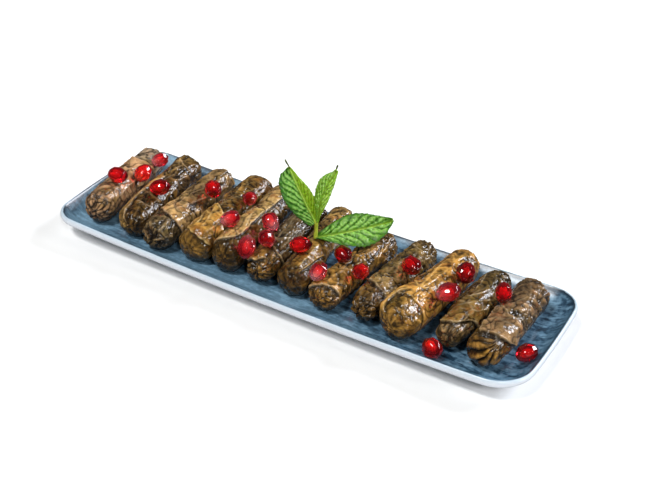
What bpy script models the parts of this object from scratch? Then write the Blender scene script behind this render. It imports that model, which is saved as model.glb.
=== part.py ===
"""Stuffed vine leaves side by side on a long slate-blue plate, with pomegranate seeds and a mint sprig.

Metres, +Z up. The origin is at the middle of the plate's foot, on the surface that it stands on.
+X runs along the plate, and -Y is its front, the side that the rolls' folded ends face.
"""
import math
import random

import bmesh
import bpy
from mathutils import Matrix, Vector
from mathutils.bvhtree import BVHTree

MM = 0.001
GAP = 0.35 * MM                      # kept between pieces that touch

# Plate: driving dimensions
PLATE_LENGTH = 252 * MM
PLATE_WIDTH = PLATE_LENGTH / 3
FLOOR_HEIGHT = 6 * MM
RIM_HEIGHT = 10.5 * MM               # at the middle of a long side
RIM_LIFT = 2.85 * MM                 # how much higher the rim is at both ends
END_BOW = 1.2 * MM                   # how far the short sides bulge
LIP_WIDTH = 1.7 * MM
SLOPE_END = 12 * MM                  # distance in from the edge where the flat floor begins
FOOT_INSET = 15 * MM
EDGE_DEPTH = 4.3 * MM                # height of the upright side below the rim
CORNER_RADII = {"back_right": 15 * MM, "back_left": 14 * MM, "front_left": 12 * MM, "front_right": 18 * MM}
CORNER_STEPS = 6
LONG_SIDE_STEPS = 14
SHORT_SIDE_STEPS = 3

# Rolls: what they share
LEAF_STEP = 1.0 * MM                 # height of the free edge of the last wrap of leaf
LAP_RUN = math.radians(200)          # angle over which that step fades out
LUMP = 0.35 * MM                     # unevenness of the filling
SINK = 0.5 * MM                      # how far a soft roll flattens where it lies
SOFTNESS = 0.5 * MM                  # how gently a roll is flattened by what it presses on
COLUMNS = 20
CAP_ANGLES = (14, 34, 54, 73, 90)    # degrees from a roll's end to its full girth
BODY_RINGS = 9
END_DEPTH = 0.8                      # depth of a rounded end, in radii
END_POWER = 2.5                      # 2 is a round end, more is blunter

# Seeds
SEED_LENGTH = 12.0 * MM
SEED_WIDTH = 9.6 * MM
SEED_SIDES = 7

# Mint
LEAF_THICKNESS = 0.7 * MM
LEAF_ROWS = 13
LEAF_COLUMNS = 6
VEIN_PAIRS = 6
STEM_RADIUS = 1.1 * MM
STEM_HEIGHT = 9.5 * MM

COLOURS = {
    "glaze": (0.035, 0.075, 0.125),
    "dark": (0.060, 0.038, 0.014),
    "brown": (0.110, 0.066, 0.022),
    "gold": (0.230, 0.130, 0.025),
    "grey": (0.120, 0.090, 0.042),
    "seed": (0.450, 0.010, 0.020),
    "mint": (0.130, 0.290, 0.030),
}


class Roll:
    """One stuffed leaf: where it lies, how thick it is, and how its leaf is folded.

    front and back are the centres of its round ends, in mm from the middle of the plate.
    lap is the angle of the free leaf edge, from the top towards +X, and slant its drift along the roll.
    collar is how deep the front end is sunk inside the outer wrap, over the first part of its length.
    taper is the front end's share of the full girth, waist a pinch part way along.
    """

    def __init__(self, front, back, radii, colour, lap, slant=0, side=1, collar=0, collar_at=0.2,
                 taper=1.0, waist=0, waist_at=0.5, pleats=7, pleat=0.35, tall=1.0):
        self.front = Vector((front[0], front[1], 0)) * MM
        self.back = Vector((back[0], back[1], 0)) * MM
        self.radii = (radii[0] * MM, radii[1] * MM)
        self.colour = colour
        self.lap = math.radians(lap)
        self.slant = math.radians(slant)
        self.side = side
        self.collar = collar * MM
        self.collar_at = collar_at
        self.taper = taper
        self.waist = waist * MM
        self.waist_at = waist_at
        self.pleats = pleats
        self.pleat = pleat * MM
        self.tall = tall

    def axis_x(self, y):
        """X of the roll's axis at a place across the plate."""
        share = (y - self.front.y) / (self.back.y - self.front.y)
        return self.front.x + share * (self.back.x - self.front.x)

    def mean_radius(self):
        return 0.5 * (self.radii[0] + self.radii[1])


ROLLS = [
    Roll((-107.0, -22.5), (-113.0, 23.0), (8.5, 8.2), "dark", lap=62, slant=20, pleats=9, pleat=0.5),
    Roll((-85.5, -23.0), (-91.3, 25.8), (8.9, 8.7), "brown", lap=-20, slant=35, collar=0.9, collar_at=0.16),
    Roll((-68.0, -26.5), (-69.5, 24.0), (9.0, 8.6), "dark", lap=48, slant=-30, collar=0.8, collar_at=0.20,
         pleats=8, pleat=0.6),
    Roll((-47.5, -23.5), (-49.3, 28.5), (9.4, 9.0), "gold", lap=-50, slant=60, collar=-0.7, collar_at=0.42,
         pleats=5, tall=1.04),
    Roll((-30.5, -23.0), (-34.5, 28.0), (8.8, 8.4), "brown", lap=38, slant=-18, waist=0.8, waist_at=0.62,
         tall=1.04),
    Roll((-12.5, -22.0), (-15.5, 26.5), (8.5, 8.0), "dark", lap=-12, slant=40, collar=1.0, collar_at=0.14,
         pleats=8, pleat=0.5),
    Roll((5.5, -23.0), (-1.0, 29.5), (8.2, 7.8), "brown", lap=30, slant=30, waist=0.6, waist_at=0.45, tall=1.03),
    Roll((23.5, -25.0), (26.5, 22.5), (8.3, 7.8), "brown", lap=-35, slant=-25, waist=0.9, waist_at=0.58,
         collar=0.6, collar_at=0.12),
    Roll((43.5, -22.5), (46.5, 24.0), (8.4, 8.2), "grey", lap=55, slant=-45, taper=0.72, pleats=9, pleat=0.6),
    Roll((61.3, -24.5), (67.0, 25.5), (10.3, 8.9), "gold", lap=-58, slant=12, side=-1, collar=0.6,
         collar_at=0.22, pleats=6),
    Roll((84.0, -19.0), (86.5, 21.5), (8.3, 8.2), "grey", lap=40, slant=10, collar=1.5, collar_at=0.24,
         taper=0.9, pleats=7, pleat=0.45),
    Roll((102.5, -22.0), (104.5, 20.0), (9.4, 9.0), "dark", lap=50, slant=-35, collar=1.2, collar_at=0.22,
         pleats=10, pleat=0.7),
]

# Seeds, left to right: place in mm, heading of the long axis in degrees from +X, pitch, and scale
SEEDS = [
    (-105.4, -12.1, 15, 0, 0.95),
    (-100.9, 2.6, 80, 28, 0.95),
    (-102.9, 19.8, 60, 10, 0.85),
    (-81.9, -9.1, 30, 10, 0.97),
    (-60.2, 5.6, -35, 0, 1.0),
    (-40.4, 8.5, -60, 30, 0.85),
    (-36.1, -15.8, 60, 5, 0.97),
    (-20.8, -3.9, -35, -10, 1.0),
    (-13.2, -19.5, 100, -35, 0.98),
    (-19.6, -26.7, 105, 40, 1.05),
    (2.3, -14.5, 20, 15, 1.0),
    (21.4, -8.3, -30, 0, 0.92),
    (18.1, -25.6, 95, 20, 0.95),
    (33.2, -12.6, -70, 30, 0.97),
    (52.5, 0.7, -35, 5, 1.03),
    (75.8, 10.0, 100, 30, 1.0),
    (75.2, -8.1, 35, 15, 1.06),
    (97.4, 2.0, 110, 25, 0.95),
    (80.5, -33.0, -35, 0, 1.0),
    (117.4, -14.1, 50, 12, 0.98),
]
SEED_START = 60 * MM                 # height from which a seed is let down

# Mint sprig: its foot in mm, and each leaf as height on the stem, reach to its tip, facing, width, arch,
# belly, which moves its widest place towards the tip, and sweep, how far it curves sideways
MINT_FOOT = (2.0, 0.0)
MINT_LEAVES = [
    (0.90, (-18.9, 5.0, 20.0), (0.30, -0.80, 0.50), 13.0, 1.5, 1.65, 1.8),
    (0.96, (-1.2, 18.2, 18.0), (0.90, -0.30, 0.26), 11.0, 1.5, 1.15, 4.6),
    (0.04, (27.5, 26.5, 4.5), (0.15, -0.50, 0.85), 18.0, 1.5, 1.30, -2.4),
]


def clear_scene():
    for thing in list(bpy.data.objects):
        bpy.data.objects.remove(thing, do_unlink=True)


def make_material(name, colour, roughness):
    material = bpy.data.materials.new(name)
    material.use_nodes = True
    shader = material.node_tree.nodes["Principled BSDF"]
    shader.inputs["Base Color"].default_value = (*colour, 1.0)
    shader.inputs["Roughness"].default_value = roughness
    shader.inputs["Metallic"].default_value = 0.0
    return material


def make_object(name, mesh_builder, material):
    """Turn a finished bmesh into a smooth-shaded object at the world's origin."""
    bmesh.ops.recalc_face_normals(mesh_builder, faces=mesh_builder.faces[:])
    mesh = bpy.data.meshes.new(name)
    mesh_builder.to_mesh(mesh)
    mesh_builder.free()
    mesh.shade_smooth()
    mesh.set_sharp_from_angle(angle=math.radians(50))
    mesh.materials.append(material)
    thing = bpy.data.objects.new(name, mesh)
    bpy.context.scene.collection.objects.link(thing)
    return thing


def skin_rings(mesh_builder, rings):
    """Join closed rings of equal length with quads, and return the rings of vertices."""
    made = [[mesh_builder.verts.new(point) for point in ring] for ring in rings]
    for lower, upper in zip(made, made[1:]):
        count = len(lower)
        for i in range(count):
            j = (i + 1) % count
            mesh_builder.faces.new((lower[i], lower[j], upper[j], upper[i]))
    return made


def cap_with_point(mesh_builder, ring, point):
    tip = mesh_builder.verts.new(point)
    for i, vertex in enumerate(ring):
        mesh_builder.faces.new((vertex, ring[(i + 1) % len(ring)], tip))


def surface_of(thing):
    """A search tree of an object's faces, in world space."""
    return BVHTree.FromObject(thing, bpy.context.evaluated_depsgraph_get())


def soft_min(value, limit):
    """value, bent to stay under limit."""
    return limit - SOFTNESS * math.log1p(math.exp((limit - value) / SOFTNESS))


def soft_max(value, limit):
    return -soft_min(-value, -limit)


def rim_height(x):
    return RIM_HEIGHT + RIM_LIFT * (2 * x / PLATE_LENGTH) ** 2


def plate_outline(inset):
    """Points round the plate, counter-clockwise from the right side, this far in from its edge."""
    half_x = 0.5 * PLATE_LENGTH - inset
    half_y = 0.5 * PLATE_WIDTH - inset
    corners = [("front_right", 1, -1, -90), ("back_right", 1, 1, 0), ("back_left", -1, 1, 90),
               ("front_left", -1, -1, 180)]
    arcs = []
    for name, side_x, side_y, start in corners:
        radius = max(CORNER_RADII[name] - 0.8 * inset, 3 * MM)
        centre = Vector((side_x * (half_x - radius), side_y * (half_y - radius)))
        arc = []
        for step in range(CORNER_STEPS + 1):
            turn = math.radians(start + 90 * step / CORNER_STEPS)
            arc.append(centre + radius * Vector((math.cos(turn), math.sin(turn))))
        arcs.append(arc)
    points = []
    for index, arc in enumerate(arcs):
        points.extend(arc)
        following = arcs[(index + 1) % len(arcs)][0]
        steps = LONG_SIDE_STEPS if index % 2 else SHORT_SIDE_STEPS
        for step in range(1, steps):
            points.append(arc[-1].lerp(following, step / steps))
    for point in points:
        bulge = END_BOW * (1 - (point.y / half_y) ** 2)
        point.x -= math.copysign(END_BOW - bulge, point.x) * (abs(point.x) / half_x) ** 8
    return points


def plate_profile():
    """(inset, height above the foot as a function of the rim's height) from the foot to the floor."""
    def underside(inset):
        share = (FOOT_INSET - inset) / (FOOT_INSET - LIP_WIDTH)
        return lambda rim: (rim - EDGE_DEPTH) * share ** 1.3

    def slope(inset):
        share = (SLOPE_END - inset) / (SLOPE_END - LIP_WIDTH)
        return lambda rim: FLOOR_HEIGHT + (rim - 0.45 * MM - FLOOR_HEIGHT) * share ** 2

    rows = [(FOOT_INSET, lambda rim: 0.0)]
    rows += [(inset * MM, underside(inset * MM)) for inset in (11, 6.5, 1.7)]
    rows += [(0.45 * MM, lambda rim: rim - 3.5 * MM), (0.0, lambda rim: rim - 2.2 * MM),
             (0.12 * MM, lambda rim: rim - 1.0 * MM), (0.75 * MM, lambda rim: rim - 0.1 * MM)]
    rows += [(1.2 * MM, lambda rim: rim - 0.08 * MM)]
    rows += [(inset * MM, slope(inset * MM)) for inset in (1.7, 3.2, 5.2, 7.9)]
    rows += [(SLOPE_END, lambda rim: FLOOR_HEIGHT)]
    return rows


def build_plate():
    """A shallow coupe: foot, upright edge, lip, hollow slope and flat floor in one closed skin."""
    builder = bmesh.new()
    rings = []
    for inset, height in plate_profile():
        rings.append([Vector((p.x, p.y, height(rim_height(p.x)))) for p in plate_outline(inset)])
    made = skin_rings(builder, rings)
    builder.faces.new(list(reversed(made[0])))
    builder.faces.new(made[-1])
    return make_object("plate", builder, make_material("slate_blue_glaze", COLOURS["glaze"], 0.25))


def fence_between(left, right):
    """X of the upright plane where two neighbouring rolls press on each other, by place across."""
    share = left.mean_radius() / (left.mean_radius() + right.mean_radius())

    def x_at(y):
        return left.axis_x(y) + share * (right.axis_x(y) - left.axis_x(y))
    return x_at


def roll_stations(roll):
    """Distances of the rings from the front end, and each ring's share of the full girth."""
    length = (roll.back - roll.front).length + sum(roll.radii)
    depths = (END_DEPTH * roll.radii[0], END_DEPTH * roll.radii[1])
    caps = []
    for angle in CAP_ANGLES:
        turn = math.radians(angle)
        girth = (1 - math.cos(turn) ** END_POWER) ** (1 / END_POWER)
        caps.append((1 - math.cos(turn), girth))
    front = [(depths[0] * share, girth) for share, girth in caps]
    back = [(length - depths[1] * share, girth) for share, girth in reversed(caps)]
    span = back[0][0] - front[-1][0]
    body = [front[-1][0] + span * step / (BODY_RINGS + 1) for step in range(1, BODY_RINGS + 1)]
    edge = min(body, key=lambda distance: abs(distance - roll.collar_at * length))
    half_edge = 0.5 * MM
    middle = []
    for distance in body:
        if distance == edge and roll.collar:
            middle += [(distance - half_edge, 1.0), (distance + half_edge, 1.0)]
        else:
            middle.append((distance, 1.0))
    return length, edge, front + middle + back


def column_angles(roll, share):
    """Angles round a ring. The first two hug the free edge of the leaf, so that its step is crisp."""
    edge = roll.lap + roll.slant * (share - 0.5)
    hug = math.radians(4)
    spread = (2 * math.pi - 2 * hug) / (COLUMNS - 1)
    return edge, [edge - hug] + [edge + hug + spread * i for i in range(COLUMNS - 1)]


def roll_relief(roll, phases, angle, edge_angle, share, distance, collar_edge, length):
    """How far the leaf stands out at one place of a roll, from its laps, folds, pleats and filling."""
    beyond = (roll.side * (angle - edge_angle)) % (2 * math.pi)
    relief = -LEAF_STEP * max(0.0, 1 - beyond / LAP_RUN)
    if roll.collar and distance < collar_edge:
        upper = 0.5 + 0.5 * math.cos(angle)
        relief -= roll.collar * (0.35 + 0.65 * upper)
    from_end = min(distance, length - distance)
    fade = math.exp(-from_end / (6 * MM))
    relief += roll.pleat * fade * math.cos(roll.pleats * angle + phases[0])
    relief -= roll.waist * math.exp(-((share - roll.waist_at) / 0.09) ** 2)
    relief += LUMP * math.sin(2 * angle + 5 * share + phases[1])
    relief += LUMP * math.sin(9 * share + phases[2]) * math.cos(angle + phases[3])
    relief += 0.5 * LUMP * math.sin(14 * share - 3 * angle + phases[4])
    return relief


def build_roll(index, roll, fences, plate_surface):
    """A fat rolled leaf: rings along its axis, bent flat by the plate and by the rolls beside it."""
    draw = random.Random(100 + index)
    phases = [draw.uniform(0, 2 * math.pi) for _ in range(5)]
    axis = (roll.back - roll.front).normalized()
    across = axis.cross(Vector((0, 0, 1)))
    start = roll.front - axis * roll.radii[0]
    length, collar_edge, stations = roll_stations(roll)
    rings = []
    for distance, girth in stations:
        share = distance / length
        radius = roll.radii[0] + (roll.radii[1] - roll.radii[0]) * share
        narrow = roll.taper + (1 - roll.taper) * min(1.0, share / 0.35)
        edge_angle, angles = column_angles(roll, share)
        ring = []
        for angle in angles:
            relief = roll_relief(roll, phases, angle, edge_angle, share, distance, collar_edge, length)
            reach = girth * narrow * (radius + relief)
            lift = FLOOR_HEIGHT + GAP + radius * roll.tall - SINK
            point = start + axis * distance + across * (reach * math.sin(angle))
            point.z = lift + reach * roll.tall * math.cos(angle)
            ring.append(settle(point, fences, plate_surface))
        rings.append(ring)
    builder = bmesh.new()
    made = skin_rings(builder, rings)
    for ring, distance in ((made[0], 0.0), (made[-1], length)):
        middle = sum((vertex.co for vertex in ring), Vector()) / len(ring)
        end = start + axis * distance
        cap_with_point(builder, ring, settle(Vector((end.x, end.y, middle.z)), fences, plate_surface))
    material = make_material(f"vine_leaf_{index:02d}", COLOURS[roll.colour], 0.35)
    return make_object(f"dolma_{index:02d}", builder, material)


def settle(point, fences, plate_surface):
    """Keep a point of a roll between its neighbours and above the plate."""
    low, high = fences
    if low:
        point.x = soft_max(point.x, low(point.y) + 0.5 * GAP)
    if high:
        point.x = soft_min(point.x, high(point.y) - 0.5 * GAP)
    hit = plate_surface.ray_cast(Vector((point.x, point.y, SEED_START)), Vector((0, 0, -1)))[0]
    point.z = soft_max(point.z, hit.z + GAP)
    return point


def build_rolls(plate):
    plate_surface = surface_of(plate)
    made = []
    for index, roll in enumerate(ROLLS):
        low = fence_between(ROLLS[index - 1], roll) if index > 0 else None
        high = fence_between(roll, ROLLS[index + 1]) if index + 1 < len(ROLLS) else None
        made.append(build_roll(index + 1, roll, (low, high), plate_surface))
    return made


def surface_samples(mesh):
    """Corners of a mesh, with points along its edges and the middles of its faces."""
    points = [vertex.co.copy() for vertex in mesh.vertices]
    for edge in mesh.edges:
        start, end = (mesh.vertices[i].co for i in edge.vertices)
        points += [start.lerp(end, share) for share in (0.25, 0.5, 0.75)]
    points += [face.center.copy() for face in mesh.polygons]
    return points


def let_down(thing, carriers):
    """Lower an object straight down until it nearly touches one of the carriers."""
    down = Vector((0, 0, -1))
    own = surface_of(thing)
    corners = surface_samples(thing.data)
    low = Vector((min(c.x for c in corners), min(c.y for c in corners)))
    high = Vector((max(c.x for c in corners), max(c.y for c in corners)))
    drop = SEED_START * 2
    for carrier in carriers:
        tree = surface_of(carrier)
        for corner in corners:
            hit = tree.ray_cast(corner, down)[0]
            if hit:
                drop = min(drop, corner.z - hit.z)
        for point in surface_samples(carrier.data):
            if low.x < point.x < high.x and low.y < point.y < high.y:
                hit = own.ray_cast(point, -down)[0]
                if hit:
                    drop = min(drop, hit.z - point.z)
    thing.data.transform(Matrix.Translation(down * (drop - GAP)))


def build_seed(index, seed, carriers):
    """A fleshy pomegranate seed: an uneven seven-sided drop, blunt at one end, let down on the food."""
    x, y, heading, pitch, scale = seed
    draw = random.Random(300 + index)
    profile = ((0.10, 0.50), (0.30, 0.90), (0.58, 1.00), (0.84, 0.66))
    rings = []
    wobble = [draw.uniform(0.90, 1.08) for _ in range(SEED_SIDES)]
    for along, girth in profile:
        twist = draw.uniform(-0.12, 0.12)
        ring = []
        for side in range(SEED_SIDES):
            turn = 2 * math.pi * side / SEED_SIDES + twist
            reach = 0.5 * SEED_WIDTH * girth * wobble[side]
            ring.append(Vector(((along - 0.5) * SEED_LENGTH, reach * math.cos(turn), 0.92 * reach * math.sin(turn))))
        rings.append(ring)
    builder = bmesh.new()
    made = skin_rings(builder, rings)
    cap_with_point(builder, made[0], Vector((-0.5 * SEED_LENGTH, 0, 0)))
    cap_with_point(builder, made[-1], Vector((0.5 * SEED_LENGTH, 0, 0)))
    turn = Matrix.Rotation(math.radians(heading), 4, "Z") @ Matrix.Rotation(math.radians(-pitch), 4, "Y")
    turn = turn @ Matrix.Rotation(draw.uniform(0, math.pi), 4, "X") @ Matrix.Scale(scale, 4)
    place = Matrix.Translation(Vector((x * MM, y * MM, SEED_START))) @ turn
    bmesh.ops.transform(builder, matrix=place, verts=builder.verts[:])
    made_seed = make_object(f"seed_{index:02d}", builder, make_material(f"seed_flesh_{index:02d}",
                                                                       COLOURS["seed"], 0.12))
    let_down(made_seed, carriers)
    return made_seed


def leaf_height(share, side, width, arch):
    """Height of a mint leaf's face over its flat plane: arch, cupped halves, midrib and quilting."""
    bow = arch * 4 * share * (1 - share)
    cup = 0.10 * width * abs(side) ** 1.5
    midrib = -0.45 * MM * math.exp(-(side / 0.14) ** 2)
    quilt = 0.45 * MM * abs(math.sin(math.pi * (VEIN_PAIRS * share - 1.3 * abs(side)))) * (1 - abs(side) ** 4)
    wave = 0.35 * MM * math.sin(11 * share + 2 * side) * abs(side) ** 3
    return bow + cup + midrib + quilt + wave


def build_leaf(base, reach, facing, width, arch, belly, sweep):
    """A thin wavy solid: an upper and an under face with the same grid, joined round the rim."""
    length = reach.length
    along = reach.normalized()
    across = facing.cross(along).normalized()
    normal = along.cross(across)
    upper, under = [], []
    for row in range(LEAF_ROWS + 1):
        share = row / LEAF_ROWS
        spine = base + along * (length * share) + across * (sweep * MM * 4 * share * (1 - share))
        half = 0.5 * width * max(0.09, math.sin(math.pi * (0.03 + 0.95 * share) ** belly) ** 0.85)
        for column in range(LEAF_COLUMNS + 1):
            side = 2 * column / LEAF_COLUMNS - 1
            point = spine + across * (half * side)
            point += normal * leaf_height(share, side, width, arch * MM)
            upper.append(point)
            under.append(point - normal * LEAF_THICKNESS)
    builder = bmesh.new()
    top = [builder.verts.new(point) for point in upper]
    bottom = [builder.verts.new(point) for point in under]
    wide = LEAF_COLUMNS + 1
    for row in range(LEAF_ROWS):
        for column in range(LEAF_COLUMNS):
            corners = [row * wide + column, row * wide + column + 1, (row + 1) * wide + column + 1,
                       (row + 1) * wide + column]
            for cut in ((0, 1, 2), (0, 2, 3)):
                builder.faces.new([top[corners[i]] for i in cut])
                builder.faces.new([bottom[corners[i]] for i in reversed(cut)])
    rim = [column for column in range(wide)]
    rim += [row * wide + LEAF_COLUMNS for row in range(1, LEAF_ROWS + 1)]
    rim += [LEAF_ROWS * wide + column for column in range(LEAF_COLUMNS - 1, -1, -1)]
    rim += [row * wide for row in range(LEAF_ROWS - 1, 0, -1)]
    for i, here in enumerate(rim):
        there = rim[(i + 1) % len(rim)]
        builder.faces.new((top[there], top[here], bottom[here], bottom[there]))
    return builder


def keep_largest(mesh):
    """Drop what a union leaves loose: a scrap outside, or the skin of a hollow that it sealed."""
    builder = bmesh.new()
    builder.from_mesh(mesh)
    waiting = set(builder.verts)
    groups = []
    while waiting:
        group = []
        front = [waiting.pop()]
        while front:
            vertex = front.pop()
            group.append(vertex)
            linked = {edge.other_vert(vertex) for edge in vertex.link_edges} & waiting
            waiting -= linked
            front.extend(linked)
        groups.append(group)
    groups.sort(key=len)
    for group in groups[:-1]:
        bmesh.ops.delete(builder, geom=group, context="VERTS")
    builder.to_mesh(mesh)
    builder.free()


def build_mint(carriers):
    """Three leaves grown into one short stem: a pair that stands up, and one that lies to the right."""
    material = make_material("mint_leaf", COLOURS["mint"], 0.45)
    foot = Vector((MINT_FOOT[0] * MM, MINT_FOOT[1] * MM, SEED_START))
    builder = bmesh.new()
    rings = []
    for share, girth in ((0.0, 1.0), (0.35, 0.95), (0.7, 0.85), (1.0, 0.8)):
        centre = foot + Vector((0, 0, STEM_HEIGHT * share))
        rings.append([centre + STEM_RADIUS * girth * Vector((math.cos(turn), math.sin(turn), 0))
                      for turn in (2 * math.pi * i / 8 for i in range(8))])
    made = skin_rings(builder, rings)
    builder.faces.new(list(reversed(made[0])))
    builder.faces.new(made[-1])
    sprig = make_object("mint_sprig", builder, material)
    for number, (height, reach, facing, width, *shape) in enumerate(MINT_LEAVES):
        base = foot + Vector((0, 0, STEM_HEIGHT * height))
        mesh_builder = build_leaf(base, Vector(reach) * MM, Vector(facing), width * MM, *shape)
        leaf = make_object(f"mint_leaf_{number}", mesh_builder, material)
        union = sprig.modifiers.new("grow", "BOOLEAN")
        union.operation = "UNION"
        union.solver = "EXACT"
        union.object = leaf
        bpy.context.view_layer.update()
        grown = bpy.data.meshes.new_from_object(sprig.evaluated_get(bpy.context.evaluated_depsgraph_get()))
        sprig.modifiers.clear()
        keep_largest(grown)
        sprig.data = grown
        bpy.data.objects.remove(leaf, do_unlink=True)
    sprig.data.name = "mint_sprig"
    let_down(sprig, carriers)
    return sprig


def main():
    clear_scene()
    plate = build_plate()
    rolls = build_rolls(plate)
    placed = [plate] + rolls
    for index, seed in enumerate(SEEDS, 1):
        placed.append(build_seed(index, seed, placed))
    build_mint(placed)


main()
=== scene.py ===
# %% [markdown]
# # Stuffed vine leaves on a slate-blue plate
# Twelve rolled vine leaves lie side by side on a long glazed plate, scattered with pomegranate seeds
# and topped with mint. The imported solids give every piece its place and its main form. They are loaded
# first and never moved: each finished piece starts from its solid, or is built where that solid is.

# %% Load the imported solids
import math

import bpy
import numpy as np
from mathutils import Euler, Matrix, Vector, noise


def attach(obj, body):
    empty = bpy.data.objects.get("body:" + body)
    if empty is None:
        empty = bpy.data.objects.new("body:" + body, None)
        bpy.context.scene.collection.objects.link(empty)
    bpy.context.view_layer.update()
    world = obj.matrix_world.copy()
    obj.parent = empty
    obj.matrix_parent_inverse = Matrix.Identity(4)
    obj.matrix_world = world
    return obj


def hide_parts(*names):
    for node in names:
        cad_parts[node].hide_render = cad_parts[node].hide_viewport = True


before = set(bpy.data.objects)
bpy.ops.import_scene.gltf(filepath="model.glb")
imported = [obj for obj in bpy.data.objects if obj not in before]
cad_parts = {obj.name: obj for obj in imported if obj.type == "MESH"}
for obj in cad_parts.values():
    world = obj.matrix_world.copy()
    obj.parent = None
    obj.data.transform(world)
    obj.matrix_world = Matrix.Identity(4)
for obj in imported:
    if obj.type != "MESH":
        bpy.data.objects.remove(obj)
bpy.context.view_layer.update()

MM = 0.001


# %% [markdown]
# ## Small helpers
# Operators act on everything that is selected, so each step first selects exactly one object. A material
# is a tree of nodes, and one function adds a node, sets its values and wires its inputs. Colours are
# picked as sRGB hex values from the real things, and shaders want them linear.

# %% Helpers for selecting, modifying and colouring


def pick(thing):
    """Make this the only selected object, and the active one."""
    bpy.ops.object.select_all(action="DESELECT")
    thing.select_set(True)
    bpy.context.view_layer.objects.active = thing


def apply_modifier(thing, kind, **settings):
    """Add a modifier, set it and apply it at once."""
    pick(thing)
    bpy.ops.object.modifier_add(type=kind)
    modifier = thing.modifiers[-1]
    for key, value in settings.items():
        setattr(modifier, key, value)
    bpy.ops.object.modifier_apply(modifier=modifier.name)


def linear(hex_colour):
    """An sRGB hex colour as linear red, green, blue and alpha."""
    parts = [int(hex_colour[i:i + 2], 16) / 255 for i in (0, 2, 4)]
    return tuple(p / 12.92 if p <= 0.04045 else ((p + 0.055) / 1.055) ** 2.4 for p in parts) + (1.0,)


def new_material(name):
    """An empty material with its shader and output, and the tree to add nodes to."""
    material = bpy.data.materials.new(name)
    material.use_nodes = True
    tree = material.node_tree
    return material, tree, tree.nodes["Principled BSDF"]


def set_inputs(node, inputs):
    """Give a node's inputs their values."""
    for key, value in inputs.items():
        node.inputs[key].default_value = value


def add_node(tree, kind, settings=None, inputs=None, **links):
    """Add a node with its settings, its inputs' values and links. _2 in a link is the third input."""
    node = tree.nodes.new(kind)
    for key, value in (settings or {}).items():
        setattr(node, key, value)
    set_inputs(node, inputs or {})
    for key, socket in links.items():
        tree.links.new(socket, node.inputs[int(key[1:]) if key[1:].isdigit() else key])
    return node


def set_ramp(node, stops):
    """Give a colour ramp its stops: pairs of place and colour, as hex or already linear."""
    elements = node.color_ramp.elements
    while len(elements) > len(stops):
        elements.remove(elements[-1])
    while len(elements) < len(stops):
        elements.new(1.0)
    for element, (place, colour) in zip(elements, stops):
        element.position = place
        element.color = linear(colour) if isinstance(colour, str) else colour


def tint(tree, factor, under, colour, blend_type="MIX"):
    """Mix one even colour into another socket's colour."""
    node = add_node(tree, "ShaderNodeMix", {"data_type": "RGBA", "blend_type": blend_type}, None,
                    Factor=factor)
    tree.links.new(under, node.inputs["A"])
    set_inputs(node, {"B": linear(colour)})
    return node.outputs["Result"]


def finish(piece, material, slot, *nodes):
    """Dress a piece, let it ride with the plate and stand for its solids."""
    piece.data.materials.clear()
    piece.data.materials.append(material)
    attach(piece, "root")
    if nodes:
        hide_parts(*nodes)


def piece_from(node, name):
    """A merged copy of a solid's mesh, with its triangles paired back into quads."""
    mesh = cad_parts[node].data.copy()
    mesh.name = name
    piece = bpy.data.objects.new(name, mesh)
    bpy.context.scene.collection.objects.link(piece)
    pick(piece)
    bpy.ops.object.mode_set(mode="EDIT")
    bpy.ops.mesh.select_all(action="SELECT")
    bpy.ops.mesh.remove_doubles(threshold=0.01 * MM)
    bpy.ops.mesh.tris_convert_to_quads(face_threshold=math.radians(60), shape_threshold=math.radians(60))
    bpy.ops.object.mode_set(mode="OBJECT")
    return piece


def coordinates(mesh):
    """The places of a mesh's vertices, one row each."""
    flat = np.empty(len(mesh.vertices) * 3)
    mesh.vertices.foreach_get("co", flat)
    return flat.reshape(-1, 3)


def normals(mesh):
    """The directions in which a mesh's vertices face, one row each."""
    flat = np.empty(len(mesh.vertices) * 3)
    mesh.vertex_normals.foreach_get("vector", flat)
    return flat.reshape(-1, 3)


def set_coordinates(mesh, points):
    mesh.vertices.foreach_set("co", points.ravel())
    mesh.update()


def set_attribute(mesh, name, values):
    """Store one number for each vertex, for the materials to read."""
    attribute = mesh.attributes.new(name, "FLOAT", "POINT")
    attribute.data.foreach_set("value", np.asarray(values, dtype=np.float32))


def noise_at(points, seed, ridged=False):
    """Smooth noise at each point, from about -1 to 1, or its sharp ridges from 0 to 1."""
    shift = Vector((17.3 * seed, 5.1 * seed, 9.7 * seed))
    values = np.array([noise.noise(Vector(p) + shift) for p in points])
    return 1 - 2.2 * np.abs(values) if ridged else 1.6 * values


def grained(name, grain, stops, roughness, ior=1.5, stretch=(1, 1, 1)):
    """A simple stuff, mottled between two colours, with grains of a real size that may be stretched."""
    material, tree, shader = new_material(name)
    place = add_node(tree, "ShaderNodeTexCoord").outputs["Object"]
    stretched = add_node(tree, "ShaderNodeMapping", None, {"Scale": stretch}, Vector=place)
    mottle = add_node(tree, "ShaderNodeTexNoise", None, {"Scale": 1 / grain, "Detail": 3.0},
                      Vector=stretched.outputs["Vector"])
    ramp = add_node(tree, "ShaderNodeValToRGB", None, None, Fac=mottle.outputs["Fac"])
    set_ramp(ramp, stops)
    tree.links.new(ramp.outputs["Color"], shader.inputs["Base Color"])
    set_inputs(shader, {"Roughness": roughness, "IOR": ior})
    return material


print("mid grey as linear light:", [round(v, 3) for v in linear("808080")])


# %% [markdown]
# ## Camera, floor and light
# The camera stands where the photograph was taken from: to the right of the plate's front, a third of
# the way up. The place and lens come from fitting the plate's outline. The floor is pale paper. A window
# behind and to the right is the main light, with a lamp above, a weaker one in front and one low at the
# right. They look small from the plate, so oil mirrors them as sharp white spots. A pale wall and a pale
# card only brighten the shadows. Neither they nor the floor show in reflections, which keeps the wet
# leaves dark and their colours deep.

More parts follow.
